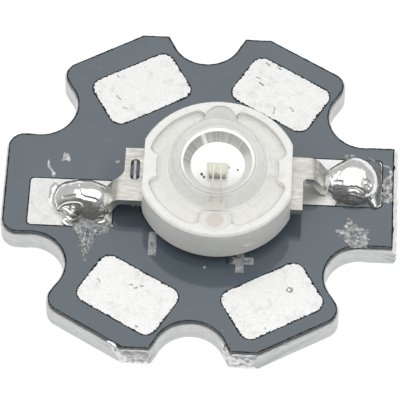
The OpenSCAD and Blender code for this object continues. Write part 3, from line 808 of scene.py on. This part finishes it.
def make_right_joint(mat):
    """Right joint: a rounder heap with creases, a crater and a spike at its front corner."""
    stations = [
        (6.41, 0.59, 0.44, 0.62), (6.48, 0.59, 0.62, 0.8), (6.75, 0.62, 0.84, 0.97), (7.15, 0.68, 1.08, 1.16),
        (7.6, 0.75, 1.3, 1.32), (8.0, 0.77, 1.36, 1.36), (8.45, 0.75, 1.27, 1.25), (8.82, 0.7, 1.06, 1.02),
        (9.08, 0.66, 0.76, 0.72), (9.21, 0.64, 0.42, 0.38), (9.25, 0.64, 0.16, 0.14),
    ]
    crater_angles = [pi * k / 8 for k in range(14)]
    creases = [
        ([(8.58 + 0.17 * cos(a), 0.12 + 0.15 * sin(a)) for a in crater_angles], 0.05, 0.08),
        ([(6.85, 0.22), (7.3, 0.14), (7.7, 0.26), (8.06, 0.34)], 0.04, 0.03),
        ([(8.0, 0.55), (8.25, 0.48), (8.45, 0.38)], 0.04, 0.03),
        ([(7.0, -0.1), (7.5, -0.22), (8.0, -0.18), (8.4, -0.3)], 0.05, 0.05),
        ([(7.4, -0.42), (7.9, -0.46), (8.4, -0.48)], 0.04, 0.05),
    ]
    spike = [(8.5, 0.12, 0.62), (8.78, -0.14, 0.32), (8.96, -0.45, 0.16), (9.1, -0.72, 0.08)]
    parts = [
        loaf(stations, PAD_Z, creases, rough=0.035, seed=8),
        strand(above(PAD_Z, spike), [0.26, 0.25, 0.17, 0.08], flat=0.9, rough=0.12, seed=6),
    ]
    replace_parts(mesh_piece("solder_joint_right", parts, mat, smooth_angle=60), "solder_right")


def make_dark_flux():
    """Burnt flux: a dark ring around the right joint and a patch in front of the left one."""
    ring = [(6.95, -0.64), (9.1, -0.68), (9.36, -0.45), (9.4, 0.6), (9.38, 1.95), (9.2, 2.2), (8.4, 2.24),
            (8.0, 2.1), (8.6, 1.7), (8.9, 0.8), (8.6, -0.05), (7.9, -0.35), (7.2, -0.3)]
    patch = [(-6.5, -1.8), (-6.0, -1.6), (-5.22, -1.7), (-4.74, -2.0), (-4.25, -2.15), (-4.4, -2.75),
             (-5.03, -3.15), (-5.34, -3.94), (-5.56, -4.85), (-5.68, -4.6), (-5.84, -3.96), (-6.0, -3.25),
             (-6.38, -2.67)]
    dark = residue_material("dark_flux", (0.085, 0.092, 0.094), (0.20, 0.212, 0.214), (0.85, 1.0))
    burnt = residue_material("burnt_flux", (0.13, 0.14, 0.145), (0.60, 0.62, 0.62), (0.25, 0.95))
    ring_film = film(ring, PAD_Z, 0.06, rough=0.35, size=0.3, seed=5)
    swelling = ((-5.6, -1.9), 0.35, 0.36)
    patch_film = film(patch, BOARD_Z, 0.11, rough=0.75, size=0.26, seed=1, swelling=swelling)
    mesh_piece("flux_right_ring", [ring_film], dark)
    mesh_piece("flux_left", [patch_film], burnt)


def make_white_flux():
    """White flux at the left edge, a patch and a swirl, and a thread of it in the slot of the left lead."""
    patch = [(-7.22, 1.3), (-7.1, 1.98), (-6.8, 1.92), (-6.55, 1.32), (-6.9, 1.4)]
    swirl = [(-7.83, 1.42), (-7.79, 1.04), (-7.6, 0.76), (-7.5, 0.56), (-7.54, 0.38)]
    thread = [(-3.27, 0.72, 2.75), (-3.27, 0.45, 2.73), (-3.27, 0.1, 2.73), (-3.26, -0.2, 2.74),
              (-3.26, -0.5, 2.77)]
    white = residue_material("white_flux", (0.42, 0.43, 0.43), (0.86, 0.86, 0.85), (0.5, 1.0))
    parts = [
        film(patch, BOARD_Z, 0.06, rough=0.6, size=0.15, seed=2),
        board_strand(swirl, [0.04, 0.07, 0.06, 0.1, 0.06], 0.5, 0.5, 1),
        strand(thread, [0.12, 0.07, 0.08, 0.07, 0.12], 0.8, 0.3, 5),
    ]
    mesh_piece("flux_white", parts, white)


def make_pale_flux():
    """Pale flux: a patch and swirls beside the right joint, the tail of the left patch, and specks."""
    foot = BOARD_Z - 0.01
    tail_rise = 0.05
    patch = [(7.1, -2.2), (7.45, -1.8), (7.8, -1.3), (8.06, -1.55), (8.42, -1.88), (8.82, -1.98),
             (8.88, -2.6), (8.7, -3.15), (7.84, -3.18), (7.48, -2.7)]
    haze = [(9.42, 0.9), (9.6, 1.2), (9.86, 1.0), (9.9, 0.4), (9.84, -0.3), (9.5, -0.35), (9.38, 0.2)]
    parts = [
        film(patch, BOARD_Z, 0.13, rough=0.95, size=0.27, seed=3),
        board_strand([(4.68, -8.88), (4.76, -8.92), (4.83, -8.99)], [0.03, 0.05, 0.03], 0.4, 0.4, 7),
        board_strand([(9.43, 1.93), (9.7, 1.85), (9.84, 1.4), (9.6, 1.07), (9.46, 0.72), (9.7, 0.44),
                      (9.88, 0.72), (9.8, 1.15)],
                     [0.05, 0.08, 0.11, 0.1, 0.09, 0.12, 0.09, 0.05], 0.4, 0.5, 2),
        board_strand([(9.33, 0.16), (9.6, 0.3), (9.85, 0.1), (9.76, -0.27), (9.46, -0.22), (9.4, 0.02)],
                     [0.05, 0.1, 0.12, 0.11, 0.1, 0.05], 0.4, 0.5, 3),
        film(haze, BOARD_Z, 0.03, rough=0.9, size=0.3, seed=6),
        board_strand([(8.69, 2.4), (9.06, 2.09), (9.27, 1.67), (9.3, 1.06), (9.26, 0.4), (9.18, -0.1)],
                     [0.05, 0.06, 0.05, 0.05, 0.04, 0.03], 0.5, 0.4, 4),
    ]
    crumbs = [(7.22, -2.2, 0.16), (7.3, -2.42, 0.1), (7.72, -1.45, 0.13), (7.62, -1.8, 0.1),
              (8.0, -2.0, 0.11), (8.78, -2.1, 0.12), (8.45, -2.0, 0.09), (8.12, -2.55, 0.1),
              (7.8, -2.5, 0.12), (8.5, -2.7, 0.1)]
    for k, (x, y, r) in enumerate(crumbs):
        parts.append(heap((x, y, foot), [r, 0.8 * r, 1.1 * r, 0.9 * r], 0.6 * r, k))
    specks = [
        (-4.25, 1.47, [0.12, 0.1, 0.14, 0.11], 0.05),
        (0.51, -4.65, [0.11, 0.05, 0.1, 0.04, 0.09, 0.06, 0.12, 0.04], 0.04),
        (-4.36, -2.42, [0.13, 0.09, 0.12, 0.1], 0.05),
        (7.5, 2.42, [0.13, 0.09, 0.12, 0.1], 0.05),
        (7.85, 2.46, [0.16, 0.1, 0.15, 0.1], 0.06),
    ]
    for k, (x, y, radii, height) in enumerate(specks):
        parts.append(heap((x, y, foot), radii, height, k + 1))
    tail = [((-6.2, -2.5), (-6.05, -2.95), (-5.9, -3.3)), ((-5.95, -2.6), (-5.85, -3.2), (-5.72, -3.9)),
            ((-5.6, -2.5), (-5.66, -3.2), (-5.6, -4.3)), ((-5.3, -2.55), (-5.42, -3.1), (-5.5, -3.8)),
            ((-5.0, -2.55), (-5.15, -2.9), (-5.3, -3.3)), ((-4.85, -2.85), (-4.66, -2.72), (-4.5, -2.6)),
            ((-4.75, -2.62), (-4.55, -2.48), (-4.35, -2.36))]
    for k, path in enumerate(tail):
        parts.append(strand(above(BOARD_Z + tail_rise, path), [0.04, 0.07, 0.03], 0.8, 0.5, k))
    pale = residue_material("pale_flux", (0.14, 0.15, 0.155), (0.80, 0.81, 0.81), (0.3, 1.0))
    mesh_piece("flux_pale", parts, pale)


# Wear on the board
def pad_outline(node, step):
    """Points at even steps around the top of a wire pad, each with its direction towards the middle."""
    mesh = nodes[node].data
    turn = nodes[node].matrix_world
    top = [p / MM for p in (turn @ v.co for v in mesh.vertices) if p.z / MM > PAD_Z - 0.002]
    middle = middle_of(top)
    top.sort(key=lambda p: atan2(p.y - middle.y, p.x - middle.x))
    found = []
    walked = 0.0
    for a, b in zip(top, top[1:] + top[:1]):
        inward = (b - a).cross(Vector((0, 0, -1))).normalized()
        length = (b - a).length
        while walked < length:
            found.append((a + (b - a) * walked / length, inward))
            walked += step
        walked -= length
    return found


def make_pad_borders(tin, rim):
    """Ragged borders of the wire pads: nicks of mask, dark with painted shade, and spills of tin."""
    step = 0.075
    threshold = 0.12
    smallest = 0.04
    growth = 0.075
    nick_height = 0.026
    spill_height = 0.018
    nicks = []
    spills = []
    for node in WIRE_PADS:
        for k, (p, inward) in enumerate(pad_outline(node, step)):
            uneven = lumps(p, 0.09, 9) + 0.4 * lumps(p, 0.4, 10)
            r = smallest + growth * abs(uneven)
            radii = [r, 0.7 * r, 1.2 * r, 0.8 * r]
            foot = Vector((p.x, p.y, BOARD_Z - 0.005))
            if uneven > threshold:
                # Nicks take the rim finish, whose dark colour is painted shade
                nicks.append(heap(foot - inward * 0.1 * r, radii, nick_height, k))
            elif uneven < -threshold:
                spills.append(heap(foot + inward * 0.3 * r, radii, spill_height, k))
    mesh_piece("pad_nicks", nicks, rim)
    mesh_piece("pad_spills", spills, tin)


def make_pad_marks():
    """Scratches on the wire pads, each a path and a radius, and a dimple on the front right one."""
    dimple_angles = [pi * k / 6 for k in range(13)]
    lines = [
        ([(4.85 + 0.13 * cos(a), -5.78 + 0.12 * sin(a)) for a in dimple_angles], 0.055),
        ([(-4.61, 5.62), (-4.47, 5.5), (-4.33, 5.35)], 0.04),
        ([(-4.64, 6.93), (-4.59, 6.86), (-4.53, 6.77)], 0.035),
        ([(2.66, 7.17), (2.78, 7.13), (2.9, 7.05)], 0.035),
        ([(2.83, 6.85), (2.95, 6.75), (3.1, 6.62)], 0.04),
        ([(3.15, 8.1), (3.26, 8.02), (3.37, 7.92)], 0.045),
        ([(3.79, 7.81), (3.9, 7.76), (3.98, 7.69)], 0.04),
        ([(3.7, 5.29), (3.69, 5.1), (3.65, 4.87)], 0.025),
        ([(-3.28, -5.93), (-3.17, -5.88), (-3.06, -5.9)], 0.035),
        ([(-2.96, -6.05), (-2.9, -6.09), (-2.82, -6.0)], 0.045),
        ([(-2.7, -5.92), (-2.6, -5.95), (-2.48, -5.9)], 0.03),
        ([(-2.79, -8.28), (-2.71, -8.3), (-2.64, -8.33)], 0.05),
        ([(3.7, -8.03), (3.72, -8.1), (3.74, -8.18)], 0.035),
        ([(-4.2, 4.9), (-4.1, 4.84), (-3.95, 4.83)], 0.03),
        ([(4.5, 5.3), (4.62, 5.22), (4.7, 5.05)], 0.03),
        ([(-4.9, -5.6), (-4.78, -5.66), (-4.7, -5.8)], 0.03),
    ]
    marks = []
    for k, (path, r) in enumerate(lines):
        marks.append(strand(above(PAD_Z, path), [r] * len(path), flat=0.25, rough=0.8, seed=k))
    grey = residue_material("pad_marks", (0.22, 0.22, 0.21), (0.55, 0.55, 0.54), (0.35, 0.95))
    mesh_piece("pad_marks", marks, grey)


def welded(source):
    """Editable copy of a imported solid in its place, with split corners joined and flat faces merged."""
    bm = bmesh.new()
    bm.from_mesh(source.data)
    bm.transform(source.matrix_world)
    bmesh.ops.remove_doubles(bm, verts=bm.verts, dist=WELD)
    bmesh.ops.dissolve_limit(bm, angle_limit=FLAT_ANGLE, verts=bm.verts, edges=bm.edges)
    return bm


def make_mask_rims(mat):
    """Uneven rims of the mask along its outline and around its openings, dark with painted shade of the mask's
    raised edge.
    """
    inset = 0.035
    longest = 0.2
    bm = welded(nodes["solder_mask"])
    bm.normal_update()
    walls = {}
    for edge in bm.edges:
        tops = [f for f in edge.link_faces if f.normal.z > 0.9]
        sides = [f for f in edge.link_faces if abs(f.normal.z) < 0.5]
        if tops and sides and min(v.co.z for v in edge.verts) > (BOARD_Z - 0.002) * MM:
            walls[edge] = sides[0].normal.copy()
    rims = []
    while walls:
        found, wall = next(iter(walls.items()))
        del walls[found]
        loop = [(found.verts[0].co / MM, wall)]
        tip = found.verts[1]
        while found:
            loop.append((tip.co / MM, wall))
            found = next((e for e in tip.link_edges if e in walls), None)
            if found:
                wall = walls.pop(found)
                tip = found.other_vert(tip)
        points = []
        for (a, _), (b, wall) in zip(loop, loop[1:]):
            count = max(1, round((b - a).length / longest))
            points += [a + (b - a) * i / count - wall * inset for i in range(count)]
        points.append(points[0])
        rims.append(strand(points, [inset] * len(points), 0.45, 0.8, len(rims), count=6, steps=2))
    bm.free()
    mesh_piece("mask_rims", rims, mat)


def make_edge_chips(torn, rim):
    """A flake and burrs of torn metal at the front edge's corners, and chipped mask on the right edge, dark
    with painted shade.
    """
    flake = [(-4.14, -9.21), (-3.93, -9.29), (-3.72, -9.45, -0.03), (-3.56, -9.58, -0.2)]
    burrs = [
        ([(-4.1, -9.13, 1.34), (-3.95, -9.22, 1.15), (-3.8, -9.31, 0.85), (-3.65, -9.42, 0.5)],
         [0.04, 0.1, 0.12, 0.06]),
        ([(-3.85, -9.28, 1.28), (-3.7, -9.4, 1.0), (-3.55, -9.48, 0.7), (-3.45, -9.53, 0.3)],
         [0.05, 0.12, 0.12, 0.08]),
        ([(-3.6, -9.46, 1.2), (-3.45, -9.55, 0.8), (-3.4, -9.58, 0.4), (-3.35, -9.58, 0.15)],
         [0.05, 0.12, 0.12, 0.06]),
        ([(1.6, -9.0, 1.3), (1.72, -9.2, 1.1), (1.8, -9.35, 0.75), (1.85, -9.48, 0.4)],
         [0.04, 0.09, 0.1, 0.06]),
        ([(1.8, -9.25, 1.3), (1.95, -9.42, 1.05), (2.02, -9.54, 0.7), (2.05, -9.58, 0.3)],
         [0.05, 0.11, 0.12, 0.07]),
    ]
    flakes = [board_strand(flake, [0.04, 0.07, 0.09, 0.05], 0.5, 0.4, 1)]
    for k, (path, radii) in enumerate(burrs):
        flakes.append(strand(path, radii, flat=0.8, rough=0.7, seed=k))
    mesh_piece("edge_burrs", flakes, torn, smooth_angle=50)
    # Chips take the rim finish, whose dark colour is painted shade
    chips = [
        board_strand([(9.97, 2.01, -0.03), (10.0, 1.86, -0.05), (9.97, 1.7, -0.03)],
                     [0.04, 0.07, 0.04], 0.7, 0.4, 2),
        board_strand([(9.96, -1.65, -0.03), (10.0, -1.9, -0.05), (9.96, -2.14, -0.03)],
                     [0.04, 0.07, 0.05], 0.7, 0.4, 3),
    ]
    mesh_piece("edge_chips", chips, rim, smooth_angle=60)


def torn_depth(p):
    """How deep a torn edge lies at a place: slanting ridges at two opposite lobes, lumps elsewhere."""
    fine = lumps(p, 0.13, 6)
    if p.x * p.y > 0 and abs(p.y) > RIGHT_BREAK_HALF:
        along = Vector((p.x, p.y * 0.2, 0))
        wave = lumps(along, 1.1, 5) + 0.4 * lumps(along, 0.3, 7)
        ridge = (p.z / TEAR_STEP + 0.8 * wave) % 1
        return 0.02 + 0.17 * ridge + 0.04 * fine
    return max(0.0, 0.1 + 0.12 * lumps(p, 0.33, 8) + 0.07 * fine)


def make_plate(mat, torn):
    """Aluminium core with torn webs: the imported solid, with its broken faces split finely and roughened."""
    margin = 0.01
    levels = 26
    cut_step = 0.05
    cuts_each_side = ((Vector((1, 0, 0)), 110), (Vector((0, 1, 0)), 62))
    deepest = 0.3
    web_margin = 0.03
    bottom_fade = 0.1
    top_fade = 0.08
    source = nodes["base_plate"]
    mesh = source.data.copy()
    mesh.name = "torn_plate"
    mesh.materials.clear()
    bm = welded(source)

    def broken_faces():
        found = []
        for face in bm.faces:
            c = face.calc_center_median() / MM
            n = face.normal
            across = abs(c.y) > BREAK_Y + margin and abs(n.y) > 0.3
            along = c.x > BREAK_X + margin and n.x > 0.3
            if across or along:
                found.append(face)
        return found

    def split(distance, normal):
        chosen = broken_faces()
        geometry = set(chosen)
        for face in chosen:
            geometry.update(face.edges)
            geometry.update(face.verts)
        place = normal * distance * MM
        bmesh.ops.bisect_plane(bm, geom=list(geometry), dist=1e-8, plane_co=place, plane_no=normal)

    for level in range(1, levels):
        split(CORE_T * level / levels, Vector((0, 0, 1)))
    for normal, cuts in cuts_each_side:
        for k in range(-cuts, cuts + 1):
            split(k * cut_step, normal)
    for face in bm.faces:
        face.material_index = 0
    broken = broken_faces()
    for face in broken:
        face.material_index = 1
    for v in {v for face in broken for v in face.verts}:
        p = v.co / MM
        fade = min(1, p.z / bottom_fade, (CORE_T - p.z) / top_fade)
        on_right = p.x > BREAK_X + margin and abs(p.y) < RIGHT_BREAK_HALF
        out = Vector((1, 0, 0)) if on_right else Vector((0, copysign(1, p.y), 0))
        limit = (BREAK_X if on_right else BREAK_Y) + BREAK_REACH
        on_web = WEB_LOW - web_margin < p.z < WEB_HIGH + web_margin
        depth = torn_depth(p) if on_web else 0.6 * torn_depth(p) - 0.04
        v.co += out * max(-deepest, min(limit - p.dot(out), -fade * depth)) * MM
    bm.to_mesh(mesh)
    bm.free()
    piece = ride_piece("torn_plate", mesh, mat, smooth_angle=35)
    mesh.materials.append(torn)
    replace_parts(piece, "base_plate")


def dress_solids(aluminium, solder, mask, tin, clear):
    """Materials of the solids that are shown as packed, and of those that a mesh replaces."""
    paint(aluminium, "base_plate")
    paint(plain_material("dielectric", (0.10, 0.10, 0.09), (0.16, 0.16, 0.14), 0.4, 0.6, 0.005),
          "insulation_layer")
    paint(metal_material("copper", (0.70, 0.40, 0.24), (0.80, 0.50, 0.32), 0.5, (0.3, 0.45), 0.004),
          "copper_left", "copper_right")
    paint(mask, "solder_mask")
    paint(tin, "copper_centre", "pad_right", *WIRE_PADS)
    paint(tin_material("fluxed_tin", 0.91), "pad_left")
    paint(ink_material([((1.6, -4.2, BOARD_Z), 0.3)]), "mark_plus", "mark_minus")
    paint(plain_material("thermal_compound", (0.76, 0.76, 0.74), (0.85, 0.85, 0.83), 0.3, 0.7, 0.01),
          "thermal_compound")
    paint(slug_material(), "heat_slug")
    paint(moulding_material(), "emitter_body")
    paint(metal_material("lead_plating", (0.46, 0.45, 0.41), (0.67, 0.66, 0.62), 0.3, (0.25, 0.42), 0.016,
                         (0.45, 1.5, 1)), "lead_left", "lead_right")
    paint(plain_material("adhesive", (0.82, 0.82, 0.79), (0.88, 0.88, 0.85), 0.1, 0.4, 0.003), "die_adhesive")
    paint(phosphor_material(), "led_die")
    paint(metal_material("gold_wire", (0.84, 0.79, 0.72), (0.92, 0.88, 0.82), 0.05, (0.3, 0.4), 0.001),
          "bond_wire_left", "bond_wire_right")
    paint(solder, "solder_left", "solder_right")
    paint(clear, "lens", "encapsulant_gel")


# Stage
def make_world():
    """Studio: a softbox overhead, a grey room that is darker in front, and white for the camera."""
    m = Finish("studio", "World")
    direction = m.add("SeparateXYZ", Vector=m.add("TexCoord").outputs["Generated"])
    x, y, z = (direction.outputs[axis] for axis in "XYZ")
    up = m.calc("MAXIMUM", z, 0.02)
    aside = m.calc("ABSOLUTE", m.calc("DIVIDE", x, up))
    ahead = m.calc("ABSOLUTE", m.calc("SUBTRACT", m.calc("DIVIDE", y, up), BOX_MIDDLE))

    def within(value, half):
        return m.spread(value, half - BOX_BLUR, half + BOX_BLUR, 1.0, 0.0, "SMOOTHSTEP")

    box = m.calc("MULTIPLY", within(aside, BOX_HALF_WIDTH), within(ahead, BOX_HALF_DEPTH))
    room = m.spread(y, -0.7, 0.15, ROOM_FRONT, ROOM_BACK)
    level = m.add("Mix", data_type="FLOAT", Factor=box, A=room, B=BOX_LEVEL)
    studio = m.add("Background", Strength=level.outputs["Result"])
    white = m.add("Background", Strength=1.0, Color=(1, 1, 1))
    bpy.context.scene.world = m.close(m.mixed(m.add("LightPath").outputs["Is Camera Ray"], studio, white))


def make_floor():
    """Pale floor under the part: white to the eye and in reflections, but it keeps a trace of shadow."""
    half = 400
    gap = 0.02
    mesh = bpy.data.meshes.new("floor")
    corners = [(-half, -half, 0), (half, -half, 0), (half, half, 0), (-half, half, 0)]
    mesh.from_pydata([Vector(c) * MM for c in corners], [], [(0, 1, 2, 3)])
    floor = bpy.data.objects.new("floor", mesh)
    bpy.context.scene.collection.objects.link(floor)
    floor.location.z = -gap * MM
    m = Finish("pale_floor")
    path = m.add("LightPath").outputs
    seen = m.calc("MAXIMUM", path["Is Camera Ray"], path["Is Glossy Ray"])
    seen = m.calc("MAXIMUM", seen, path["Is Transmission Ray"])
    plain = m.add("BsdfDiffuse", Color=(0.6, 0.6, 0.6))
    glow = m.add("Emission", Strength=1.12, Color=(1, 1, 1))
    mesh.materials.append(m.close(m.mixed(m.calc("MULTIPLY", seen, 0.88), plain, glow)))


def make_camera():
    """Camera at the photograph's place, worked out from its yaw, pitch and roll."""
    flat = cos(CAMERA_PITCH)
    back = Vector((sin(CAMERA_YAW) * flat, -cos(CAMERA_YAW) * flat, sin(CAMERA_PITCH)))
    right = Vector((cos(CAMERA_YAW), sin(CAMERA_YAW), 0))
    down = (-back).cross(right)
    right_rolled = cos(CAMERA_ROLL) * right + sin(CAMERA_ROLL) * down
    down_rolled = -sin(CAMERA_ROLL) * right + cos(CAMERA_ROLL) * down
    turn = Matrix((right_rolled, -down_rolled, back)).transposed()
    data = bpy.data.cameras.new("camera")
    data.sensor_fit = "HORIZONTAL"
    data.sensor_width = 36
    data.lens = CAMERA_LENS
    data.clip_start = 0.01
    camera = bpy.data.objects.new("camera", data)
    bpy.context.scene.collection.objects.link(camera)
    camera.matrix_world = Matrix.Translation((CAMERA_TARGET + back * CAMERA_DISTANCE) * MM) @ turn.to_4x4()
    bpy.context.scene.camera = camera


bpy.context.scene.view_settings.view_transform = "Standard"
make_camera()
make_world()
make_floor()

aluminium_finish = aluminium_material()
# Dark spots on the fronts of the joints: burnt flux, partly painted shade
solder_finish = solder_material([((-5.45, -2.1, PAD_Z + 0.5), 0.62), ((-6.0, -2.2, PAD_Z + 0.3), 0.4),
                                 ((7.35, -0.35, PAD_Z + 0.45), 0.5), ((8.1, -0.55, PAD_Z + 0.3), 0.45)])
mask_finish = mask_material()
tin_finish = tin_material("tinned_pad", 1.0)
torn_finish = metal_material("torn_aluminium", (0.74, 0.75, 0.75), (0.92, 0.92, 0.91), 0.1, (0.3, 0.5), 0.012)
# Nearly black finish of the mask's rims, nicks and chips: painted shade of the mask's raised edges
shaded_rim_finish = plain_material("shaded_mask_rim", (0.014, 0.018, 0.02), (0.035, 0.042, 0.046), 0.2, 0.5, 0.01, 1.12)
clear_finish = clear_material()
cloudy_finish = plain_material("window_gel", (0.84, 0.82, 0.77), (0.90, 0.88, 0.83), 0.3, 0.35, 0.006)
dust_finish = plain_material("dust", (0.05, 0.05, 0.05), (0.16, 0.16, 0.15), 0.05, 0.6, 0.004)

dress_solids(aluminium_finish, solder_finish, mask_finish, tin_finish, clear_finish)
make_lens(clear_finish)
make_plate(aluminium_finish, torn_finish)
make_pad_borders(tin_finish, shaded_rim_finish)
make_pad_marks()
make_mask_rims(shaded_rim_finish)
make_edge_chips(torn_finish, shaded_rim_finish)
make_left_joint(solder_finish)
make_right_joint(solder_finish)
make_dark_flux()
make_white_flux()
make_pale_flux()
make_window_gel(cloudy_finish)
make_specks(dust_finish)
make_port_gel("port_gel_front", -1, (0.67, 0.625, 0.565), (0.79, 0.77, 0.72))
make_port_gel("port_gel_back", 1, (0.60, 0.60, 0.58), (0.64, 0.64, 0.62))
